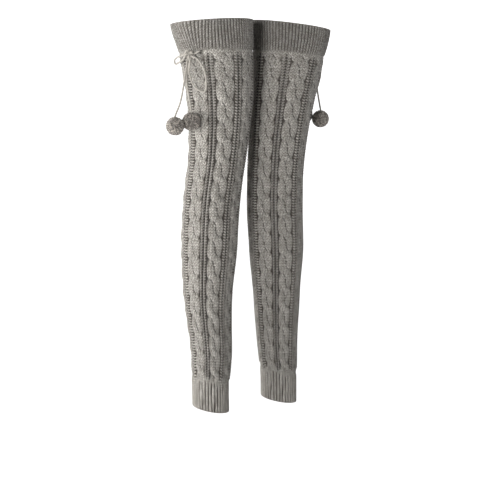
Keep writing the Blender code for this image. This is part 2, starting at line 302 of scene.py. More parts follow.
def wrapped_faces(rows: int, columns: int, close_rows: bool) -> np.ndarray:
    """Four-sided faces of a grid that closes on itself from column to column.

    Args:
        rows: Number of rows.
        columns: Number of columns.
        close_rows: Whether the last row joins the first.

    Returns:
        Indices of each face's corners.
    """
    index = np.arange(rows * columns).reshape(rows, columns)
    below = np.roll(index, -1, axis=0)
    quads = np.stack((index, below, np.roll(below, -1, axis=1), np.roll(index, -1, axis=1)), axis=-1)
    return quads[: rows if close_rows else rows - 1].reshape(-1, 4)


def corner_values(grid: np.ndarray) -> np.ndarray:
    """Values at the four corners of each face, from a grid with one more row and column."""
    return np.stack((grid[:-1, :-1], grid[1:, :-1], grid[1:, 1:], grid[:-1, 1:]), axis=2)


class Wiring:
    """Adds nodes to one tree and joins them."""

    def __init__(self, tree: bpy.types.NodeTree) -> None:
        """Keeps the tree."""
        self.tree = tree

    def add(self, kind: str, feeds: dict[object, object] | None = None, **settings: object) -> bpy.types.Node:
        """A node of a kind with its settings and what feeds its inputs."""
        node = self.tree.nodes.new(kind)
        for label, value in settings.items():
            setattr(node, label, value)
        self.feed_all(node, feeds or {})
        return node

    def feed(self, socket: bpy.types.NodeSocket, value: object) -> None:
        """Joins a socket to another, or sets its value."""
        if isinstance(value, bpy.types.NodeSocket):
            self.tree.links.new(value, socket)
        else:
            socket.default_value = value

    def feed_all(self, node: bpy.types.Node, feeds: dict[object, object]) -> None:
        """Feeds a node's inputs, given by name or place."""
        for label, value in feeds.items():
            self.feed(node.inputs[label], value)

    def math(self, operation: str, *values: object) -> bpy.types.NodeSocket:
        """Result of a Math node."""
        return self.add("ShaderNodeMath", dict(enumerate(values)), operation=operation).outputs[0]

    def times(self, first: object, second: object) -> bpy.types.NodeSocket:
        """One value times another."""
        return self.math("MULTIPLY", first, second)

    def plus(self, first: object, second: object) -> bpy.types.NodeSocket:
        """One value and another together."""
        return self.math("ADD", first, second)

    def minus(self, first: object, second: object) -> bpy.types.NodeSocket:
        """One value less another."""
        return self.math("SUBTRACT", first, second)

    def scaled(self, value: object, factor: object, offset: object) -> bpy.types.NodeSocket:
        """A value times a factor and then moved by an offset."""
        return self.math("MULTIPLY_ADD", value, factor, offset)

    def span(
        self, value: object, low: float, high: float, start: float = 0.0, end: float = 1.0,
    ) -> bpy.types.NodeSocket:
        """Value carried from one range to another with soft ends."""
        feeds = dict(enumerate((value, low, high, start, end)))
        return self.add("ShaderNodeMapRange", feeds, interpolation_type="SMOOTHSTEP").outputs[0]

    def noise(self, vector: object, scale: float, detail: float) -> bpy.types.NodeSocket:
        """Factor of a noise texture."""
        return self.add("ShaderNodeTexNoise", {"Vector": vector, "Scale": scale, "Detail": detail}).outputs["Fac"]

    def blend(self, share: object, first: object, second: object) -> bpy.types.NodeSocket:
        """Colour between two colours."""
        node = self.add("ShaderNodeMix", data_type="RGBA")
        sockets = {socket.identifier: socket for socket in node.inputs}
        for label, value in (("Factor_Float", share), ("A_Color", first), ("B_Color", second)):
            self.feed(sockets[label], value)
        return next(socket for socket in node.outputs if socket.identifier == "Result_Color")

    def split(self, vector: object) -> list[bpy.types.NodeSocket]:
        """The three parts of a vector."""
        return list(self.add("ShaderNodeSeparateXYZ", {0: vector}).outputs)

    def combine(self, *values: object) -> bpy.types.NodeSocket:
        """A vector of up to three values."""
        return self.add("ShaderNodeCombineXYZ", dict(enumerate(values))).outputs[0]

    def knit_map(self) -> bpy.types.NodeSocket:
        """The piece's map."""
        return self.add("ShaderNodeUVMap", uv_map=KNIT_MAP).outputs[0]

    def carried(self, name: str) -> bpy.types.NodeSocket:
        """A value that the piece's points carry."""
        return self.add("ShaderNodeAttribute", attribute_name=name).outputs["Fac"]


def new_group(name: str, inputs: dict[str, str], outputs: dict[str, str], tree_type: str = "ShaderNodeTree") -> tuple:
    """An empty node group.

    Args:
        name: Name of the group.
        inputs: Kinds of its inputs by name.
        outputs: Kinds of its outputs by name.
        tree_type: Kind of node tree.

    Returns:
        The tree, its wiring, the sockets that it is given and the sockets of its result.
    """
    tree = bpy.data.node_groups.new(name, tree_type)
    for side, sockets in (("INPUT", inputs), ("OUTPUT", outputs)):
        for label, kind in sockets.items():
            tree.interface.new_socket(label, in_out=side, socket_type=f"NodeSocket{kind}")
    wiring = Wiring(tree)
    return tree, wiring, wiring.add("NodeGroupInput").outputs, wiring.add("NodeGroupOutput").inputs


def knit_stitch_group() -> bpy.types.NodeTree:
    """Group that draws knit and purl stitches from a map in wales and courses, with a mask of painted shade where they
    lie low.
    """
    tree, wiring, given, result = new_group(
        "Knit stitches", {"Map": "Vector", "Purl": "Float"}, {"Height": "Float", "PaintedGapShade": "Float", "Tone": "Float"},
    )
    wale, course, _ = wiring.split(given["Map"])
    offset = wiring.minus(wiring.math("FRACT", wiring.plus(wale, 0.5)), 0.5)
    across = wiring.times(wiring.math("ABSOLUTE", offset), 2.0)
    climbed = wiring.minus(course, wiring.times(across, CLIMB))
    ring = wiring.math("COSINE", wiring.times(climbed, 2 * math.pi))
    arm = wiring.math("POWER", wiring.math("SINE", wiring.times(across, math.pi * 0.98)), 0.6)
    stitch = wiring.times(arm, wiring.scaled(ring, 0.5, 0.5))
    bump = wiring.math("COSINE", wiring.times(course, 2 * math.pi))
    purl = wiring.times(wiring.scaled(across, -0.5, 0.9), wiring.scaled(bump, 0.3, 0.62))
    height = wiring.plus(stitch, wiring.times(wiring.minus(purl, stitch), given["Purl"]))
    cell = wiring.combine(wiring.math("ROUND", wale), wiring.math("ROUND", climbed))
    chance = wiring.add("ShaderNodeTexWhiteNoise", {"Vector": cell}, noise_dimensions="3D")
    wiring.feed(result["Tone"], chance.outputs["Value"])
    wiring.feed(result["Height"], height)
    # The gap output is painted shade: 1 where the stitch lies low, between its arms and between courses, and 0 on its
    # crests.
    wiring.feed(result["PaintedGapShade"], wiring.span(height, 0.12, 0.66, 1.0, 0.0))
    return tree


def marl_group() -> bpy.types.NodeTree:
    """Group that mixes the light and dark fibres of a marled yarn."""
    tree, wiring, given, result = new_group(
        "Marled yarn",
        {"Place": "Vector", "Light": "Color", "Dark": "Color", "Contrast": "Float", "Tone": "Float"},
        {"Color": "Color", "Fuzz": "Float"},
    )
    fleck = wiring.span(wiring.noise(given["Place"], FLECK_SCALE, 3.0), 0.34, 0.68)
    patch = wiring.span(wiring.noise(given["Place"], PATCH_SCALE, 2.0), 0.3, 0.72)
    fibre = wiring.noise(given["Place"], FIBRE_SCALE, 2.0)
    share = wiring.plus(wiring.times(fleck, 0.8), wiring.times(patch, 0.2))
    centred = wiring.times(wiring.minus(share, 0.5), given["Contrast"])
    strand = wiring.times(wiring.minus(fibre, 0.5), 0.5)
    toned = wiring.scaled(wiring.minus(given["Tone"], 0.5), 0.4, 0.5)
    mixed = wiring.plus(wiring.plus(centred, toned), strand)
    limited = wiring.math("MAXIMUM", wiring.math("MINIMUM", mixed, 1.0), 0.0)
    wiring.feed(result["Color"], wiring.blend(limited, given["Dark"], given["Light"]))
    wiring.feed(result["Fuzz"], wiring.plus(wiring.times(fleck, 0.5), fibre))
    return tree


@dataclass
class Groups:
    """The effects that the finishes share."""

    stitches: bpy.types.NodeTree = field(default_factory=knit_stitch_group)
    marl: bpy.types.NodeTree = field(default_factory=marl_group)


@dataclass(frozen=True)
class Finish:
    """A marled wool finish; the classes below add their own relief."""

    name: str
    light: Row
    dark: Row
    contrast: float = 1.0
    roughness: float = 0.88
    sheen: float = 0.25
    sheen_roughness: float = 0.6
    specular: float = 0.2

    def start(self, groups: Groups) -> tuple[bpy.types.Material, Wiring, bpy.types.Node, bpy.types.Node]:
        """A new material with its shader and its marled yarn.

        Args:
            groups: The shared groups.

        Returns:
            The material, its wiring, its shader and its yarn node.
        """
        material = bpy.data.materials.new(self.name)
        material.use_nodes = True
        wiring = Wiring(material.node_tree)
        shader = material.node_tree.nodes["Principled BSDF"]
        wiring.feed_all(shader, {
            "Roughness": self.roughness,
            "Sheen Weight": self.sheen,
            "Sheen Roughness": self.sheen_roughness,
            "Specular IOR Level": self.specular,
        })
        yarn = wiring.add("ShaderNodeGroup", {
            "Place": wiring.add("ShaderNodeTexCoord").outputs["Object"],
            "Light": (*self.light, 1.0),
            "Dark": (*self.dark, 1.0),
            "Contrast": self.contrast,
            "Tone": 0.5,
        }, node_tree=groups.marl)
        return material, wiring, shader, yarn

    def relief(self, wiring: Wiring, shader: bpy.types.Node, height: object, distance: float) -> None:
        """Feeds a height to the shader's normal through a Bump node."""
        bump = wiring.add("ShaderNodeBump", {"Strength": 1.0, "Distance": distance, "Height": height})
        wiring.feed(shader.inputs["Normal"], bump.outputs["Normal"])


@dataclass(frozen=True)
class KnitFinish(Finish):
    """Marled yarn knitted in columns of stitches, with painted shade in its grooves and between its stitches."""

    # Colour, range and strength of the painted shade in the grooves and between the stitches.
    painted_groove_shade: Row = (0.04, 0.031, 0.025)
    painted_gap_share: float = 0.58
    painted_shade_start: float = 0.42
    painted_shade_end: float = 0.88
    painted_shade_share: float = 0.95
    fuzz: float = 0.22
    stitch_height: float = 0.002

    def make(self, groups: Groups) -> bpy.types.Material:
        """The material, from the piece's knit map and its relief."""
        material, wiring, shader, yarn = self.start(groups)
        feeds = {"Map": wiring.knit_map(), "Purl": wiring.carried("purl")}
        stitches = wiring.add("ShaderNodeGroup", feeds, node_tree=groups.stitches).outputs
        wiring.feed(yarn.inputs["Tone"], stitches["Tone"])
        # Painted shade: the points' groove value and the low parts of each stitch blend the yarn towards a near-black
        # shade colour.
        sunk = wiring.span(wiring.carried("groove"), self.painted_shade_start, self.painted_shade_end)
        painted_gap = wiring.times(stitches["PaintedGapShade"], self.painted_gap_share)
        dark = wiring.math("MAXIMUM", wiring.times(sunk, self.painted_shade_share), painted_gap)
        shaded = wiring.blend(dark, yarn.outputs["Color"], (*self.painted_groove_shade, 1.0))
        wiring.feed(shader.inputs["Base Color"], shaded)
        height = wiring.plus(stitches["Height"], wiring.times(yarn.outputs["Fuzz"], self.fuzz))
        self.relief(wiring, shader, height, self.stitch_height)
        return material


@dataclass(frozen=True)
class CordFinish(Finish):
    """Marled yarn laid up in a cord."""

    painted_strand_shade: float = 0.45
    strand_height: float = 0.00025

    def make(self, groups: Groups) -> bpy.types.Material:
        """The material, with fine strands that run round the cord and painted shade in the grooves between them."""
        material, wiring, shader, yarn = self.start(groups)
        round_it, along, _ = wiring.split(wiring.knit_map())
        lay = wiring.plus(wiring.times(round_it, 3.0), along)
        strand = wiring.math("ABSOLUTE", wiring.math("SINE", wiring.times(lay, math.pi * 3.0)))
        # Painted shade: the yarn is blended towards a darker colour in the grooves between the fine strands.
        shade = wiring.span(strand, 0.0, 0.5, 0.45, 0.0)
        dark = (*(value * self.painted_strand_shade for value in self.dark), 1.0)
        wiring.feed(shader.inputs["Base Color"], wiring.blend(shade, yarn.outputs["Color"], dark))
        height = wiring.plus(strand, wiring.times(yarn.outputs["Fuzz"], 0.5))
        self.relief(wiring, shader, height, self.strand_height)
        return material


@dataclass(frozen=True)
class PompomFinish(Finish):
    """Cut yarn, each strand a little lighter or darker than the next."""

    deep_share: float = 0.3
    tip_share: float = 1.9
    fuzz_height: float = 0.0006

    def make(self, groups: Groups) -> bpy.types.Material:
        """The material, from the shade that each strand carries."""
        material, wiring, shader, yarn = self.start(groups)
        shade = wiring.carried("shade")
        dark = (*(value * self.deep_share for value in self.dark), 1.0)
        light = (*(min(1.0, value * self.tip_share) for value in self.light), 1.0)
        deep = wiring.blend(wiring.span(shade, 0.0, 0.55), dark, yarn.outputs["Color"])
        tipped = wiring.blend(wiring.span(shade, 0.6, 0.92), deep, light)
        wiring.feed(shader.inputs["Base Color"], tipped)
        self.relief(wiring, shader, yarn.outputs["Fuzz"], self.fuzz_height)
        return material


@dataclass
class Wardrobe:
    """All finishes of the pair, made once."""

    groups: Groups = field(default_factory=Groups)

    def __post_init__(self) -> None:
        """Makes each material."""
        self.cable, self.rib, self.ankle, self.cord, self.pompom = [finish.make(self.groups) for finish in (
            KnitFinish("cable_wool", (0.87, 0.836, 0.782), (0.315, 0.289, 0.252)),
            # The top cuff's yarn: a darker copy of the leg's yarn, which paints shade on the cuff.
            KnitFinish("rib_wool", (0.75, 0.72, 0.675), (0.24, 0.22, 0.19), 1.2, painted_shade_start=0.34),
            # The ankle cuff's yarn: a lighter copy of the leg's yarn, which paints light on the cuff.
            KnitFinish("ankle_wool_painted_light", (0.97, 0.935, 0.88), (0.42, 0.388, 0.34), 1.2, painted_shade_start=0.3),
            CordFinish("cord_wool", (0.6, 0.565, 0.514), (0.35, 0.327, 0.29), 0.9, 0.85),
            PompomFinish("pompom_wool", (0.42, 0.385, 0.35), (0.15, 0.13, 0.115), 1.2, 0.95, 0.3),
        )]


def make_cloth(
    tube: "CabledLeg | RibbedCuff", part: str, stops: int, material: bpy.types.Material,
) -> bpy.types.Object:
    """Makes a tube of cloth, in place of its solid, and takes its girth at some heights.

    Args:
        tube: The tube.
        part: Name of the solid, without its leg's name.
        stops: Number of heights where its girth is taken.
        material: Its finish.

    Returns:
        The new piece.
    """
    name = f"{tube.form.name}_{part}"
    piece = tube.build().make(f"{name}_knit", material)
    girths = [tube.form.girth(height, MIDDLE_DEPTH) for height in np.linspace(tube.top, tube.bottom, stops)]
    stand_in(piece, name)
    return piece


@dataclass(frozen=True)
class CabledLeg:
    """The leg between the cuffs: seven rope cables, two-column channels and a back seam."""

    form: LegForm
    cables: int = 7
    crossings: int = 17
    repeat: int = 9
    strip: float = 18.4
    strip_wales: int = 4
    courses_per_crossing: int = 7
    wale_cuts: int = 4
    course_cuts: int = 3
    stitch_relief: float = 0.2
    trough: float = 4.7
    channel_depth: float = -0.8
    column_place: float = 0.7
    column_half: float = 0.52
    strand_half: float = 1.66
    strand_rise: float = 1.15
    strand_sway: float = 1.52
    strand_drop: float = 2.7
    crease: float = 1.5
    wale_line: float = 0.28
    stretch: float = 0.42
    stretched_crossings: float = 4.5
    eyelet_angle: float = 12.5
    eyelet_depth: float = 6.9
    eyelet_half: float = 0.72
    eyelet_rows: float = 10.0
    sway_sharpness: float = 1.5
    crest_depth: float = 0.75
    strand_bulge: tuple[float, float] = (2.1, 0.47)
    off_strand: float = 9.0
    cable_half: float = 3.7
    seam_rise: float = 1.6
    seam_half: float = 0.8
    crease_width: float = 0.65
    channel_beat: float = 0.85
    purl_beat: float = 0.35
    channel_droop: float = 0.35
    wander: float = 0.5
    rim_drop: float = 0.9
    flat_rows: tuple[float, float] = (9.0, 6.0)
    inner_rows: int = 9
    # Value of the painted shade mask on the inside of the tube.
    inner_painted_shade: float = 0.4

    @property
    def top(self) -> float:
        """Height of the upper edge."""
        return -TOP_CUFF_LENGTH + 0.8

    @property
    def bottom(self) -> float:
        """Height of the lower edge."""
        return -LENGTH + ANKLE_CUFF_LENGTH - 0.2

    @property
    def wale(self) -> float:
        """Angle that one wale takes."""
        return (360.0 - self.strip) / self.cables / self.repeat

    def column_angles(self, wales: np.ndarray) -> np.ndarray:
        """Angles of columns that are counted in wales from the back seam."""
        half = self.strip_wales / 2
        last = half + self.cables * self.repeat
        first_step = self.strip / self.strip_wales
        body = self.strip / 2 + (wales - half) * self.wale
        turned = np.where(wales < half, wales * first_step, body)
        turned = np.where(wales > last, 360.0 - (last + half - wales) * first_step, turned)
        return self.form.seam_angle + turned

    def eyelets(self) -> list[float]:
        """Angles of the two columns where the drawstring comes through the cloth."""
        angles = [self.form.seam_angle]
        for repeat in range(self.cables + 1):
            start = self.form.seam_angle + self.strip / 2 + repeat * self.wale * self.repeat
            steps = (-1.05, 0.0, 1.05, 2.4, 4.5, 6.6) if repeat < self.cables else (-1.05, 0.0, 1.05)
            angles += [start + step * self.wale for step in steps]

        def nearest(target: float) -> float:
            """The column nearest to an angle."""
            return min(angles, key=lambda angle: abs(degrees_apart(angle, target)))

        turn = self.form.side * self.eyelet_angle
        return [nearest(self.form.knot_angle + turn), nearest(self.form.knot_angle - turn)]

    def strands(self, across: np.ndarray, phase: np.ndarray, wale_width: np.ndarray) -> tuple:
        """Depth and place of the two strands of each cable.

        Args:
            across: Wales from the middle of the cable.
            phase: Phase of the crossing, 0 where the first strand lies on top.
            wale_width: Width of a wale, in millimetres.

        Returns:
            For each strand its depth, its wales from the strand's middle and its lean.
        """
        pitch = (self.top - self.bottom) / self.crossings
        sharpness = self.sway_sharpness
        bulge, roundness = self.strand_bulge
        strands = []
        for sign in (1.0, -1.0):
            sway = np.tanh(sharpness * np.sin(phase)) / math.tanh(sharpness)
            middle = sign * self.strand_sway * sway
            rate = sharpness * np.cos(phase) / np.cosh(sharpness * np.sin(phase)) ** 2 / math.tanh(sharpness)
            lean = sign * self.strand_sway * rate * math.pi / pitch * wale_width
            local = (across - middle) / np.sqrt(1.0 + lean * lean)
            reach = local / self.strand_half
            crest = self.crest_depth - sign * self.strand_rise * np.cos(phase)
            rounded = np.clip(1.0 - np.abs(reach) ** bulge, 0.0, 1.0) ** roundness
            line = self.wale_line * (1.0 - np.cos(3.0 * math.pi * reach))
            depth = crest + self.strand_drop * (1.0 - rounded) + line
            strands.append((np.where(np.abs(reach) < 1.0, depth, self.off_strand), local, lean))
        return tuple(strands)

    @staticmethod
    def chevron(wale_map: np.ndarray, course_map: np.ndarray) -> np.ndarray:
        """Ridge of the stitches, 1 on a stitch's arms and -1 between two courses."""
        across = np.abs((wale_map + 0.5) % 1.0 - 0.5) * 2.0
        return np.cos(2 * math.pi * (course_map - CLIMB * across))

    def build(self) -> Mesh:
        """The whole shell: outer relief, plain inside and closed rims."""
        total = self.strip_wales + self.cables * self.repeat
        wales = np.arange(total * self.wale_cuts + 1) / self.wale_cuts
        rows = self.course_cuts * self.crossings * self.courses_per_crossing
        step = np.arange(rows + 1)
        share = (step / rows)[:, None]
        course = (self.top - self.bottom) / (self.crossings * self.courses_per_crossing)
        angles = self.column_angles(wales)[None, :]
        heights = self.top + (self.bottom - self.top) * share + 0.0 * angles
        width = self.form.girth(-300.0, MIDDLE_DEPTH) / MM / 360.0 * self.wale

        half = self.strip_wales / 2
        in_body = (wales >= half) & (wales <= total - half)
        place = (wales - half + self.repeat / 2) % self.repeat - self.repeat / 2
        from_strip = np.minimum(np.abs(wales - half), np.abs(wales - total + half))
        from_channel = np.where(in_body, np.abs(place), from_strip)[None, :]
        from_seam = np.minimum(wales, total - wales)[None, :]
        across = ((wales - half) % self.repeat - self.repeat / 2)[None, :]
        phase = math.pi * share * self.crossings - math.pi / 2
        (depth_a, local_a, lean_a), (depth_b, local_b, lean_b) = self.strands(across, phase, np.float64(width))

        depth = np.full(heights.shape, self.trough)
        from_column = np.abs(from_channel - self.column_place)
        rise = cap(from_column / self.column_half) ** 0.7
        depth = np.minimum(depth, self.trough - (self.trough - self.channel_depth) * rise)
        depth = np.minimum(depth, self.trough - self.seam_rise * cap(from_seam / self.seam_half))
        in_cable = (in_body & (np.abs(across[0]) < self.cable_half))[None, :]
        cable = np.minimum(depth_a, depth_b)
        shows = in_cable & (cable < depth)
        owner = np.where(shows, np.where(depth_a <= depth_b, 1, 2), 0)
        depth = np.where(shows, cable, depth)
        both = np.maximum(depth_a, depth_b) < self.off_strand
        crease = shows * both * bell((depth_a - depth_b) / self.crease_width)
        plain = owner == 0
        in_channel = from_channel < self.column_place + self.column_half
        beat = np.cos(2 * math.pi * step / self.course_cuts)[:, None]
        maps = []
        for local, lean, middle in ((local_a, lean_a, -1.5), (local_b, lean_b, 1.5)):
            wale_map = local * 1.5 / self.strand_half + middle + 0.5 * (self.repeat % 2)
            course_map = heights / course - 0.25 * lean * local * width / course
            maps.append((wale_map + 0.0 * heights, course_map))
        stitch = np.where(depth_a <= depth_b, *(self.chevron(*pair) for pair in maps))
        depth = depth - plain * np.where(in_channel, self.channel_beat, self.purl_beat) * beat + crease * self.crease
        depth = depth - ~plain * self.stitch_relief * stitch
        ends = np.clip(np.minimum(step, rows - step) / 4.0, 0.0, 1.0)[:, None]
        droop = self.channel_droop * course * (1.0 - from_column / self.column_half)
        heights = heights - ends * in_channel * droop
        apart = np.min([np.abs(degrees_apart(angles, eyelet)) for eyelet in self.eyelets()], axis=0)
        dip = self.eyelet_depth * cap(apart / (self.eyelet_half * self.wale))
        heights = heights - dip * np.clip(1.0 - share * rows / self.eyelet_rows, 0.0, 1.0)
        wander = np.sin(angles * 0.11 + heights * 0.021) * np.sin(heights * 0.047 + angles * 0.05)
        depth = depth + self.wander * wander * ends
        upper, lower = self.flat_rows
        level = soft_step(np.minimum(step / upper, (rows - step) / lower))[:, None]
        stretched = 1.0 - soft_step(share * self.crossings / self.stretched_crossings)
        relief = 1.0 - self.stretch * stretched
        edge = EDGE_DEPTH - EDGE_BEAT * beat + self.rim_drop * (step == 0)[:, None]
        depth = edge + (depth - edge) * level
        # Painted shade mask, carried as the points' groove value: deeper cloth, the creases where the strands cross,
        # the dips between the channel's beads and the channel's middle line are painted darker; the flattened cables
        # near the top get a little of it too.
        painted_shade_mask = np.clip(depth / self.trough, 0.0, 1.0) * (1.0 - 0.17 * stretched)
        painted_shade_mask = painted_shade_mask + (1.7 * relief * crease + 0.12 * stretched * ~plain) * level
        painted_shade_mask = painted_shade_mask + (in_channel & plain) * 0.5 * (1.0 - beat) * level
        painted_shade_mask = painted_shade_mask + plain * 0.25 * bell(from_channel / 0.15) * level
        depth = edge + (depth - edge) * relief
        depth = depth + self.form.pucker(angles, heights) - self.form.loose(angles, heights)

        inside = np.linspace(1.0, 0.0, self.inner_rows)[:, None]
        inner_heights = self.top + (self.bottom - self.top) * inside - np.where(inside == 0.0, dip, 0.0)
        inner_depth = INNER_DEPTH + self.form.pucker(angles, inner_heights) - self.form.loose(angles, inner_heights)
        all_heights = np.concatenate((heights, inner_heights))
        all_depth = np.concatenate((depth, inner_depth))
        placed = all_heights + self.form.seam_wave(angles, all_heights)
        points = self.form.place(angles + 0.0 * all_heights, placed, -all_depth)[:, :-1]

        count = len(inside)
        flat = np.stack((wales[None, :] + 0.0 * all_heights, all_heights / course), axis=-1)
        grids = [flat] + [np.concatenate((np.stack(pair, axis=-1), flat[rows + 1:])) for pair in maps]
        wrapped = [corner_values(np.concatenate((grid, grid[:1]))) for grid in grids]
        owners = np.concatenate((owner, np.zeros((count, owner.shape[1]), dtype=int)))[:, :-1]
        corners = np.choose(owners[..., None, None], wrapped)
        # The inside carries a fixed value of the painted shade mask.
        groove = np.concatenate((painted_shade_mask, np.full((count, len(wales)), self.inner_painted_shade)))[:, :-1]
        purl = np.concatenate((plain & ~in_channel, np.zeros((count, len(wales)), dtype=bool)))[:, :-1]
        faces = wrapped_faces(len(all_heights), len(wales) - 1, True)
        return Mesh(points.reshape(-1, 3), faces, corners.reshape(-1, 2), {"groove": groove, "purl": purl})

    def dress(self, material: bpy.types.Material) -> bpy.types.Object:
        """Makes the leg, in place of its solid."""
        return make_cloth(self, "leg", 12, material)


@dataclass(frozen=True)
class RibbedCuff:
    """A tube of single ribs; the upper one is drawn together at the bow."""

    form: LegForm
    part: str
    ribs: int
    top: float
    bottom: float
    courses: int
    free_edge_on_top: bool
    groove: float = 2.7
    rib_cuts: int = 8
    course_cuts: int = 3
    knit_share: float = 0.6
    gather: float = 0.25
    fan: float = 0.4
    gather_width: float = 30.0
    rib_round: float = 0.18
    wale_line: float = 0.45
    wale_line_half: float = 0.16
    knit_beat: float = 0.26
    purl_beat: float = 0.2
    tuck: float = 0.6
    rim_rise: float = 1.3
    rim_rises: Row = (0.75, 1.0, 0.7)
    rim_depths: Row = (0.9, 2.6, 4.6)
    scallop: float = 0.35
    inner_rows: int = 6
    wobble: float = 1.3

    def build(self) -> Mesh:
        """The whole shell: ribs of knit stitches outside, plain inside, a round free edge."""
        ribs = np.arange(self.ribs * self.rib_cuts + 1) / self.rib_cuts
        rows = self.courses * self.course_cuts
        step = np.arange(rows + 1)
        share = (step / rows)[:, None]
        course = (self.top - self.bottom) / self.courses
        across = np.abs(ribs % 1.0 - 0.5)[None, :] * 2.0
        knit = across < self.knit_share
        crown = cap(across / (self.knit_share + self.rib_round))
        depth = self.groove * (1.0 - crown) + self.wale_line * bell(across / self.wale_line_half)
        beat = np.cos(2 * math.pi * step / self.course_cuts)[:, None]
        depth = depth - np.where(knit, self.knit_beat, self.purl_beat) * beat
        heights = self.top + (self.bottom - self.top) * share + 0.0 * across
        ends = np.clip(np.minimum(step, rows - step) / 3.0, 0.0, 1.0)[:, None]
        heights = heights - ends * CLIMB * course * np.clip(1.0 - across / self.knit_share, 0.0, 1.0)
        joined = rows - step if self.free_edge_on_top else step
        level = np.clip(joined / 4.0, 0.0, 1.0)[:, None]
        tucked = 0.0 if self.free_edge_on_top else self.tuck
        edge = EDGE_DEPTH + tucked * (joined == 0)[:, None] - EDGE_BEAT * beat
        depth = edge + (depth - edge) * level

        edge_height = self.top if self.free_edge_on_top else self.bottom
        outward = self.rim_rise if self.free_edge_on_top else -self.rim_rise
        rim_heights = edge_height + outward * np.array(self.rim_rises)[:, None] + 0.0 * across
        rim_depth = np.array(self.rim_depths)[:, None] + self.scallop * (1.0 - crown)
        inside = np.linspace(1.0, 0.0, self.inner_rows)[:, None]
        inner_heights = self.top + (self.bottom - self.top) * inside + 0.0 * across
        inner = (inner_heights, np.full(inner_heights.shape, INNER_DEPTH))
        rim = (rim_heights, rim_depth)
        order = (inner, (rim_heights[::-1], rim_depth[::-1])) if self.free_edge_on_top else (rim, inner)
        all_heights, all_depth = (np.concatenate(part) for part in zip((heights, depth), *order))
        angles = self.form.seam_angle + ribs[None, :] * 360.0 / self.ribs + 0.0 * all_heights
        if self.free_edge_on_top:
            drawn = np.clip((self.top - all_heights) / (self.top - self.bottom), 0.0, 1.0)
            apart = degrees_apart(angles, self.form.knot_angle)
            pull = (self.gather * drawn - self.fan * (1.0 - drawn)) * bell(apart / self.gather_width)
            angles = angles - apart * pull
            all_depth = all_depth + self.form.pucker(angles, all_heights) - self.form.loose(angles, all_heights)
        else:
            angles = angles + self.wobble * np.sin(all_heights * 0.12 + angles * 0.4) * np.sin(angles * 0.07)
        placed = all_heights + self.form.seam_wave(angles, all_heights)
        points = self.form.place(angles, placed, -all_depth)[:, :-1]

        middle = np.floor(ribs[None, :]) * 2.0 + 1.0
        side = np.where(ribs[None, :] % 1.0 < 0.5, -1.0, 1.0)
        near = across / self.knit_share * 0.5
        far = 0.5 + (across - self.knit_share) / (1.0 - self.knit_share) * 0.5
        wales = middle + side * np.where(knit, near, far) + 0.0 * all_heights
        flat = np.stack((wales, all_heights / course), axis=-1)
        flat[:, -1, 0] = 2.0 * self.ribs
        corners = corner_values(np.concatenate((flat, flat[:1])))
        outer = len(heights)
        # Painted shade mask, carried as the points' groove value: the deeper the cloth between the ribs, the darker it
        # is painted; the rim and the inside carry a fixed middle value.
        groove = np.full(all_heights.shape, 0.5)
        groove[:outer] = np.clip(depth / self.groove, 0.0, 1.0)
        purl = np.zeros(all_heights.shape)
        purl[:outer] = ~knit
        faces = wrapped_faces(len(all_heights), len(ribs) - 1, True)
        values = {"groove": groove[:, :-1], "purl": purl[:, :-1]}
        return Mesh(points.reshape(-1, 3), faces, corners.reshape(-1, 2), values)

    def dress(self, material: bpy.types.Material) -> bpy.types.Object:
        """Makes the cuff, in place of its solid."""
        return make_cloth(self, self.part, 5, material)


def fine_route(points: list[Vector], step: float) -> list[Vector]:
    """Points about a step apart on a smooth curve through the given points.

    Args:
        points: Points of the route, in metres.
        step: Distance between the new points, in metres.

    Returns:
        The points of the curve, with both ends.
    """
    ends = [points[0], *points, points[-1]]
    fine = []
    for index in range(len(points) - 1):
        fine += [smooth_between(*ends[index:index + 4], share / 24) for share in range(24)]
    fine.append(points[-1])
    route = np.array(fine)
    walked = np.concatenate(((0.0,), np.cumsum(np.linalg.norm(np.diff(route, axis=0), axis=1))))
    stops = np.linspace(0.0, walked[-1], max(3, round(walked[-1] / step)) + 1)
    return [Vector(row) for row in np.stack([np.interp(stops, walked, route[:, axis]) for axis in range(3)], axis=1)]


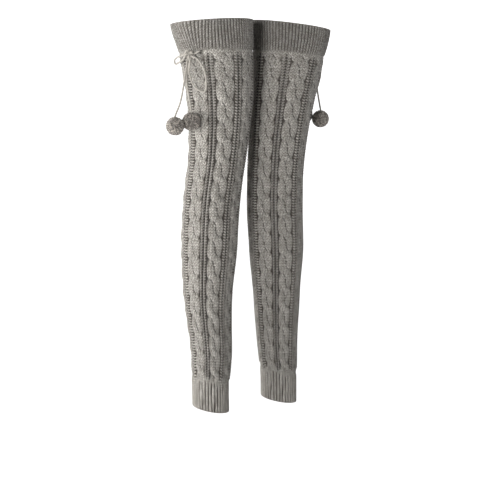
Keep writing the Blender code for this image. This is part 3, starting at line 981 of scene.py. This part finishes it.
@dataclass(frozen=True)
class TwistedCord:
    """A soft cord of three strands laid up together, in metres."""

    radius: float = CORD_RADIUS * MM
    strands: int = 3
    sides: int = 12
    step: float = 0.0009
    lay: float = 0.0085
    swell: float = 1.08
    groove: float = 0.2

    def build(self, route: list[Vector], closed: bool = False) -> Mesh:
        """A round tube with winding strands.

        Args:
            route: Points of the cord, in metres.
            closed: Whether the last point joins the first.

        Returns:
            The tube's mesh.
        """
        path = np.array(route)
        ahead = np.roll(path, -1, axis=0) - np.roll(path, 1, axis=0) if closed else np.gradient(path, axis=0)
        ahead /= np.linalg.norm(ahead, axis=1)[:, None]
        normals = path - path.mean(axis=0) if closed else self.carried(ahead)
        normals = normals - (normals * ahead).sum(axis=1)[:, None] * ahead
        normals /= np.linalg.norm(normals, axis=1)[:, None]
        sideways = np.cross(ahead, normals)
        steps = np.linalg.norm(np.diff(path, axis=0), axis=1)
        turns = np.concatenate(((0.0,), np.cumsum(steps))) / self.lay
        if closed:
            turns = turns * round(turns[-1]) / turns[-1] * len(path) / (len(path) + 1)
        winding = np.arange(self.sides + 1)[None, :] / self.sides - turns[:, None]
        wave = np.abs(np.cos(self.strands * math.pi * winding))
        reach = self.radius * (self.swell - self.groove + self.groove * wave)
        around = (np.arange(self.sides + 1) / self.sides * 2 * math.pi)[None, :, None]
        ring = normals[:, None, :] * np.cos(around) + sideways[:, None, :] * np.sin(around)
        points = (path[:, None, :] + ring * reach[..., None])[:, :-1]
        flat = np.stack((winding, 0.0 * winding), axis=-1)
        grid = np.concatenate((flat, flat[:1])) if closed else flat
        faces = wrapped_faces(len(path), self.sides, closed)[:, ::-1]
        corners = corner_values(grid).reshape(-1, 4, 2)[:, ::-1].reshape(-1, 2)
        last = (len(path) - 1) * self.sides
        caps = () if closed else (tuple(reversed(range(self.sides))), tuple(range(last, last + self.sides)))
        return Mesh(points.reshape(-1, 3), faces, corners, caps=caps)

    @staticmethod
    def carried(ahead: np.ndarray) -> np.ndarray:
        """Normals carried along a path without turning round it."""
        normal = np.cross(ahead[0], (0.31, 0.52, 0.79))
        normals = []
        for direction in ahead:
            normal = normal - normal.dot(direction) * direction
            normal = normal / np.linalg.norm(normal)
            normals.append(normal)
        return np.array(normals)


def pompom_tree() -> bpy.types.NodeTree:
    """Geometry nodes that set cut strands of yarn all over a round core."""
    inputs = {"Geometry": "Geometry", "Strands per square metre": "Float", "Strand length": "Float"}
    inputs |= {"Strand radius": "Float", "Length spread": "Float", "Lean": "Float", "Seed": "Int", "Yarn": "Material"}
    tree, wiring, given, result = new_group("Cut yarn ball", inputs, {"Geometry": "Geometry"}, "GeometryNodeTree")

    def random_float(low: object, high: object, seed: int) -> bpy.types.NodeSocket:
        """A random number for each strand."""
        node = wiring.add("FunctionNodeRandomValue", {"Seed": seed}, data_type="FLOAT")
        floats = [socket for socket in node.inputs if socket.type == "VALUE"]
        wiring.feed(floats[0], low)
        wiring.feed(floats[1], high)
        return next(socket for socket in node.outputs if socket.type == "VALUE")

    points = wiring.add("GeometryNodeDistributePointsOnFaces", {
        "Mesh": given["Geometry"], "Density": given["Strands per square metre"], "Seed": given["Seed"],
    }, distribute_method="RANDOM").outputs
    strand = wiring.add("GeometryNodeMeshCone", {
        "Vertices": 5,
        "Side Segments": 1,
        "Radius Top": wiring.times(given["Strand radius"], 1.25),
        "Radius Bottom": wiring.times(given["Strand radius"], 0.6),
        "Depth": given["Strand length"],
    }, fill_type="TRIANGLE_FAN").outputs["Mesh"]
    backward = wiring.times(given["Lean"], -1.0)
    ends = {0: wiring.combine(*[backward] * 3), 1: wiring.combine(*[given["Lean"]] * 3), "Seed": 11}
    lean = wiring.add("FunctionNodeRandomValue", ends, data_type="FLOAT_VECTOR").outputs[0]
    leaned = wiring.add("ShaderNodeVectorMath", {0: points["Normal"], 1: lean}, operation="ADD").outputs[0]
    aimed = wiring.add("FunctionNodeAlignRotationToVector", {"Vector": leaned}, axis="Z").outputs["Rotation"]
    width = random_float(0.75, 1.2, 5)
    shortest = wiring.minus(1.0, given["Length spread"])
    placed = wiring.add("GeometryNodeInstanceOnPoints", {
        "Points": points["Points"],
        "Instance": strand,
        "Rotation": aimed,
        "Scale": wiring.combine(width, width, random_float(shortest, 1.0, 7)),
    }).outputs["Instances"]
    shade = wiring.add(
        "GeometryNodeStoreNamedAttribute", {"Geometry": placed, "Name": "shade"}, data_type="FLOAT", domain="INSTANCE",
    )
    wiring.feed(next(socket for socket in shade.inputs if socket.type == "VALUE"), random_float(0.15, 1.0, 9))
    joined = wiring.add("GeometryNodeJoinGeometry", {0: shade.outputs["Geometry"]})
    wiring.feed(joined.inputs[0], given["Geometry"])
    realized = wiring.add("GeometryNodeRealizeInstances", {"Geometry": joined.outputs[0]}).outputs[0]
    finished = wiring.add("GeometryNodeSetMaterial", {"Geometry": realized, "Material": given["Yarn"]})
    wiring.feed(result[0], finished.outputs[0])
    return tree


@dataclass(frozen=True)
class Pompom:
    """A ball of cut yarn on the end of a tail, in metres."""

    tree: bpy.types.NodeTree
    radius: float = POMPOM_RADIUS * MM
    core: float = 8.6 * MM
    strands: int = 1650
    sunk: float = 0.0002
    strand_radius: float = 0.00052
    length_spread: float = 0.2
    lean: float = 0.2

    def dress(self, name: str, centre: Vector, seed: int, material: bpy.types.Material) -> bpy.types.Object:
        """Makes the ball in place of its solid.

        Args:
            name: Name of the solid that it stands for.
            centre: Its middle, in metres.
            seed: Seed of its strands.
            material: Its yarn.

        Returns:
            The finished piece.
        """
        piece = linked(f"{name}_yarn", bpy.data.meshes.new(f"{name}_yarn"))
        Ball(self.core, segments=24, rings=16).fill(piece.data, centre)
        modifier = piece.modifiers.new("Cut yarn", "NODES")
        modifier.node_group = self.tree
        sockets = {item.name: item.identifier for item in self.tree.interface.items_tree if item.in_out == "INPUT"}
        for label, value in (
            ("Strands per square metre", self.strands / (4 * math.pi * self.core**2)),
            ("Strand length", self.radius - self.core + self.sunk),
            ("Strand radius", self.strand_radius),
            ("Length spread", self.length_spread),
            ("Lean", self.lean),
            ("Seed", seed),
            ("Yarn", material),
        ):
            modifier[sockets[label]] = value
        bpy.context.view_layer.update()
        evaluated = piece.evaluated_get(bpy.context.evaluated_depsgraph_get())
        result = bpy.data.meshes.new_from_object(evaluated)
        piece.modifiers.clear()
        piece.data = result
        result.polygons.foreach_set("use_smooth", [True] * len(result.polygons))
        stand_in(piece, name)
        return piece


@dataclass(frozen=True)
class Ball:
    """A round core of rings and segments."""

    radius: float
    segments: int
    rings: int

    def fill(self, data: bpy.types.Mesh, centre: Vector) -> None:
        """Fills a mesh with the ball round a centre."""
        points = [centre + Vector((0.0, 0.0, self.radius))]
        for ring in range(1, self.rings):
            tilt = math.pi * ring / self.rings
            for segment in range(self.segments):
                turn = 2 * math.pi * segment / self.segments
                way = Vector((math.sin(tilt) * math.cos(turn), math.sin(tilt) * math.sin(turn), math.cos(tilt)))
                points.append(centre + way * self.radius)
        points.append(centre - Vector((0.0, 0.0, self.radius)))
        faces = []
        last = len(points) - 1
        for segment in range(self.segments):
            after = (segment + 1) % self.segments
            faces.append((0, 1 + segment, 1 + after))
            low = 1 + (self.rings - 2) * self.segments
            faces.append((last, low + after, low + segment))
            for ring in range(self.rings - 2):
                upper, lower = 1 + ring * self.segments, 1 + (ring + 1) * self.segments
                faces.append((upper + segment, lower + segment, lower + after, upper + after))
        data.from_pydata([tuple(point) for point in points], [], faces)
        data.update()


@dataclass(frozen=True)
class Tail:
    """One free end of a drawstring, given by points beside the knot."""

    name: str
    leave: Row
    points: tuple[Row, ...]
    pompom: Row


@dataclass(frozen=True)
class Bow:
    """The drawstring of one leg warmer: hidden run, knot, two loops and two tails."""

    form: LegForm
    eyelets: list[float]
    tails: tuple[Tail, Tail]
    cord: TwistedCord = TwistedCord()
    front_loop: tuple[Row, ...] = (
        (12.0, -9.5, 8.5), (18.0, -22.0, 8.0), (20.5, -36.0, 7.5), (19.3, -53.0, 7.0), (15.3, -62.0, 7.2),
        (8.3, -60.0, 9.2), (1.5, -52.5, 11.7), (-1.5, -40.0, 13.0), (-2.0, -26.5, 13.3), (0.5, -14.5, 12.0),
    )
    back_loop: tuple[Row, ...] = (
        (-13.0, -1.5, 9.0), (-27.0, -3.5, 9.5), (-39.0, -7.0, 10.0), (-44.0, -10.5, 10.0),
        (-40.0, -14.5, 9.5), (-30.0, -13.0, 8.5), (-17.0, -8.5, 7.5),
    )
    front_leaves: tuple[Row, Row] = ((0.7, -0.55, 0.45), (0.15, -0.45, 0.88))
    back_leaves: tuple[Row, Row] = ((-0.6, 0.65, 0.5), (-0.85, -0.1, 0.5))
    band_leaves: tuple[Row, Row] = ((-0.93, 0.1, -0.36), (0.93, 0.1, -0.36))
    band_stops: int = 34
    band_clearance: float = 0.9
    eyelet_middle: float = 2.1
    knot_stops: int = 110
    knot_reach: float = 2.15
    knot_spread: float = 1.2
    knot_rise: float = 1.55
    path_every: int = 4

    def lay(
        self, part: str, route: list[Vector], material: bpy.types.Material, closed: bool = False,
    ) -> bpy.types.Object:
        """Makes one run of cord in place of its solid."""
        name = f"{self.form.name}_{part}"
        piece = self.cord.build(route, closed).make(f"{name}_cord", material)
        stand_in(piece, name)
        return piece

    def hang(
        self, part: str, points: list[Vector], material: bpy.types.Material, far_end: str, **more: object,
    ) -> bpy.types.Object:
        """Makes a run of cord that hangs free."""
        route = fine_route(points, self.cord.step)
        piece = self.lay(part, route, material)
        return piece

    def hidden_run(self, material: bpy.types.Material) -> bpy.types.Object:
        """The run inside the cloth, out through both eyelets to the knot."""
        back, front = self.eyelets
        forward = -self.form.side
        height = -TOP_CUFF_LENGTH - self.eyelet_middle
        inside = -(INNER_DEPTH + CORD_RADIUS + self.band_clearance)
        sweep = forward * (360.0 - forward * (front - back) % 360.0)
        turns = [sweep * stop / self.band_stops for stop in range(1, self.band_stops)]
        ring = [self.form.point(back - turn, height, inside) for turn in turns]
        through = (CORD_RADIUS, -INNER_DEPTH / 2, -INNER_DEPTH)
        back_exit = [self.form.point(back, height, out) for out in through]
        front_exit = [self.form.point(front, height, out) for out in reversed(through)]
        back_end, front_end = [self.form.leaving_points(leave) for leave in self.band_leaves]
        points = [*back_end, *back_exit, *ring, *front_exit, *reversed(front_end)]
        return self.lay("drawstring", fine_route(points, self.cord.step), material)

    def knot(self, material: bpy.types.Material) -> bpy.types.Object:
        """A pretzel of the same cord, drawn tight."""
        centre, front, up, out = self.form.knot_frame()
        route = []
        for stop in range(self.knot_stops):
            turn = 2 * math.pi * stop / self.knot_stops
            reach = (self.knot_reach + self.knot_spread * math.cos(3 * turn)) * MM
            rise = self.knot_rise * math.sin(3 * turn) * MM
            route.append(centre + front * (reach * math.cos(2 * turn)) + up * (reach * math.sin(2 * turn)) + out * rise)
        return self.lay("knot", route, material, closed=True)

    def loop(
        self, part: str, rows: tuple[Row, ...], leaves: tuple[Row, Row], material: bpy.types.Material,
    ) -> bpy.types.Object:
        """One loop of the bow, from the knot and back to it."""
        start, end = [self.form.leaving_points(leave) for leave in leaves]
        points = [*start, *(self.form.beside_knot(row) for row in rows), *reversed(end)]
        return self.hang(part, points, material, "object")

    def tail(self, tail: Tail, ball: Pompom, seed: int, finishes: Wardrobe) -> list[bpy.types.Object]:
        """One tail with the pompom on its end."""
        centre = self.form.beside_knot(tail.pompom)
        seat = centre + Vector((0.0, 0.0, (POMPOM_CORE_RADIUS + TOUCH) * MM))
        drop = seat + Vector((0.0, 0.0, TAIL_DROP * MM))
        start = self.form.leaving_points(tail.leave)
        points = [*start, *(self.form.beside_knot(spot) for spot in tail.points), drop, seat]
        pompom = ball.dress(f"{self.form.name}_pompom_{tail.name}", centre, seed, finishes.pompom)
        piece = self.hang(f"tail_{tail.name}", points, finishes.cord, "fitting", with_pieces=[pompom])
        return [piece, pompom]

    def dress(self, ball: Pompom, seed: int, finishes: Wardrobe) -> list[bpy.types.Object]:
        """Makes the free cords first, then the knot and the hidden run."""
        pieces = []
        for index, tail in enumerate(self.tails):
            pieces += self.tail(tail, ball, seed + index, finishes)
        pieces.append(self.loop("loop_front", self.front_loop, self.front_leaves, finishes.cord))
        pieces.append(self.loop("loop_back", self.back_loop, self.back_leaves, finishes.cord))
        return pieces + [self.knot(finishes.cord), self.hidden_run(finishes.cord)]


@dataclass(frozen=True)
class Lamp:
    """A square area light that looks at the middle of the pair.

    Its bearing is in degrees to the right of the camera, its rise in degrees above the
    horizon, its distance and size in metres and its power in watts.
    """

    name: str
    bearing: float
    rise: float
    away: float
    size: float
    power: float
    tint: Row = (1.0, 1.0, 1.0)


@dataclass(frozen=True)
class Studio:
    """Camera, soft lights, pale floor and backdrop, in metres and degrees."""

    azimuth: float = -32.0
    distance: float = 2.1
    height: float = -0.145
    pitch: float = -6.55
    view_angle: float = 23.2
    aside: float = -0.003
    floor: float = -0.775
    middle: Row = (0.0, 0.02, -0.33)
    lamps: tuple[Lamp, ...] = (
        Lamp("key", -74.0, 0.0, 2.1, 0.65, 43.0, (1.0, 0.995, 0.98)),
        Lamp("front", -22.0, 4.0, 2.6, 0.8, 38.0, (1.0, 0.99, 0.97)),
        Lamp("fill", 48.0, 15.0, 2.6, 1.2, 15.0),
        Lamp("rim", 125.0, 35.0, 2.4, 1.2, 9.0, (0.97, 0.985, 1.0)),
    )
    sweep: tuple[tuple[float, float], ...] = (
        (3.5, 0.0), (-1.2, 0.0), (-1.7, 0.06), (-2.1, 0.28), (-2.4, 0.7), (-2.5, 1.4), (-2.5, 4.0),
    )
    half_width: float = 4.5
    paper: tuple[float, float] = (0.78, 0.81)
    paper_roughness: float = 0.9
    paper_glow: float = 0.8
    even_light: float = 0.1

    def directions(self) -> tuple[Vector, Vector]:
        """Level directions towards the camera and to its right."""
        turn = math.radians(self.azimuth)
        return Vector((math.sin(turn), -math.cos(turn), 0.0)), Vector((math.cos(turn), math.sin(turn), 0.0))

    def camera(self) -> None:
        """Sets the camera at the photograph's angle."""
        facing, right = self.directions()
        data = bpy.data.cameras.new("camera")
        data.angle = math.radians(self.view_angle)
        camera = linked("camera", data)
        camera.location = facing * self.distance + right * self.aside + Vector((0.0, 0.0, self.height))
        pitch = math.radians(self.pitch)
        look = -facing * math.cos(pitch) + Vector((0.0, 0.0, math.sin(pitch)))
        camera.rotation_euler = look.to_track_quat("-Z", "Y").to_euler()
        bpy.context.scene.camera = camera

    def light(self, lamp: Lamp) -> None:
        """Makes one light."""
        facing, right = self.directions()
        turn, lift = math.radians(lamp.bearing), math.radians(lamp.rise)
        level = facing * math.cos(turn) + right * math.sin(turn)
        way = level * math.cos(lift) + Vector((0.0, 0.0, math.sin(lift)))
        data = bpy.data.lights.new(lamp.name, "AREA")
        data.energy, data.size, data.color = lamp.power, lamp.size, lamp.tint
        light = linked(lamp.name, data)
        light.location = Vector(self.middle) + way * lamp.away
        light.rotation_euler = (-way).to_track_quat("-Z", "Y").to_euler()

    def backdrop(self) -> None:
        """The paper floor, which curves up behind the pair."""
        material = bpy.data.materials.new("studio_paper")
        material.use_nodes = True
        wiring = Wiring(material.node_tree)
        tone = wiring.noise(wiring.add("ShaderNodeTexCoord").outputs["Object"], 1.5, 1.0)
        seen = wiring.add("ShaderNodeLightPath").outputs["Is Camera Ray"]
        wiring.feed_all(material.node_tree.nodes["Principled BSDF"], {
            "Roughness": self.paper_roughness,
            "Base Color": wiring.blend(tone, *((grey, grey, grey, 1.0) for grey in self.paper)),
            "Emission Color": (1.0, 1.0, 1.0, 1.0),
            "Emission Strength": wiring.times(seen, self.paper_glow),
        })
        facing, right = self.directions()
        points = [
            tuple(facing * forward + right * wide + Vector((0.0, 0.0, self.floor + up)))
            for forward, up in self.sweep for wide in (-self.half_width, self.half_width)
        ]
        data = bpy.data.meshes.new("studio_sweep")
        rows = range(0, len(points) - 2, 2)
        data.from_pydata(points, [], [(row, row + 1, row + 3, row + 2) for row in rows])
        data.materials.append(material)
        linked("studio_sweep", data)

    def surroundings(self) -> None:
        """The backdrop, the lights and the even world."""
        self.backdrop()
        for lamp in self.lamps:
            self.light(lamp)
        world = bpy.data.worlds.new("studio")
        world.use_nodes = True
        background = world.node_tree.nodes["Background"]
        background.inputs[0].default_value = (1.0, 1.0, 1.0, 1.0)
        background.inputs[1].default_value = self.even_light
        bpy.context.scene.world = world
        bpy.context.scene.view_settings.view_transform = "Standard"


@dataclass(frozen=True)
class LegWarmer:
    """One leg warmer with its bow."""

    form: LegForm
    tails: tuple[Tail, Tail]
    seed: int

    def dress(self, ball: Pompom, finishes: Wardrobe) -> list[bpy.types.Object]:
        """Makes all pieces of this leg warmer, cords first."""
        leg = CabledLeg(self.form)
        top_cuff = RibbedCuff(
            self.form, "top_cuff", ribs=74, top=0.0, bottom=-TOP_CUFF_LENGTH - 0.2, courses=12,
            free_edge_on_top=True, groove=2.9,
        )
        ankle_cuff = RibbedCuff(
            self.form, "ankle_cuff", ribs=36, top=-LENGTH + ANKLE_CUFF_LENGTH + 0.8, bottom=-LENGTH, courses=13,
            free_edge_on_top=False, groove=3.8,
        )
        pieces = Bow(self.form, leg.eyelets(), self.tails).dress(ball, self.seed, finishes)
        # The top cuff wears the darker copy of the yarn, painted shade, and the ankle cuff the lighter copy, painted
        # light.
        return pieces + [leg.dress(finishes.cable), top_cuff.dress(finishes.rib), ankle_cuff.dress(finishes.ankle)]


OUTER_TAIL = (-0.5, -0.8, 0.35)
INNER_TAIL = (-0.3, -0.85, -0.45)
FRONT_TAIL = (0.25, -0.95, -0.2)
PAIR = (
    LegWarmer(
        LegForm("right", -1.0, 70.0, 201.2, 0.056),
        (
            Tail(
                "a", OUTER_TAIL, ((-5.5, -21.0, 13.5), (-6.5, -47.0, 23.0), (-8.0, -78.0, 33.0)), (-9.2, -118.6, 45.4),
            ),
            Tail("b", INNER_TAIL, ((-6.5, -21.0, 8.0), (-8.7, -49.0, 13.7), (-8.0, -80.0, 12.4)), (-5.5, -111.1, 14.7)),
        ),
        21,
    ),
    LegWarmer(
        LegForm("left", 1.0, 77.0, 10.0, -0.125),
        (
            Tail("a", FRONT_TAIL, ((2.8, -24.0, 9.5), (6.0, -55.0, 19.4), (9.5, -80.0, 26.5)), (11.5, -107.7, 32.4)),
            Tail(
                "b", INNER_TAIL, ((-9.0, -24.0, 8.0), (-11.5, -52.0, 13.0), (-10.0, -76.0, 15.8)), (-7.9, -100.9, 17.8),
            ),
        ),
        31,
    ),
)


def main() -> None:
    """Builds the studio and the pair, and reports each piece."""
    logging.basicConfig(level=logging.INFO, format="%(name)s: %(message)s")
    studio = Studio()
    studio.camera()
    finishes = Wardrobe()
    ball = Pompom(pompom_tree())
    for leg_warmer in PAIR:
        for piece in leg_warmer.dress(ball, finishes):
            LOG.info("%s, %d faces", piece.name, len(piece.data.polygons))
    studio.surroundings()


if __name__ == "__main__":
    main()
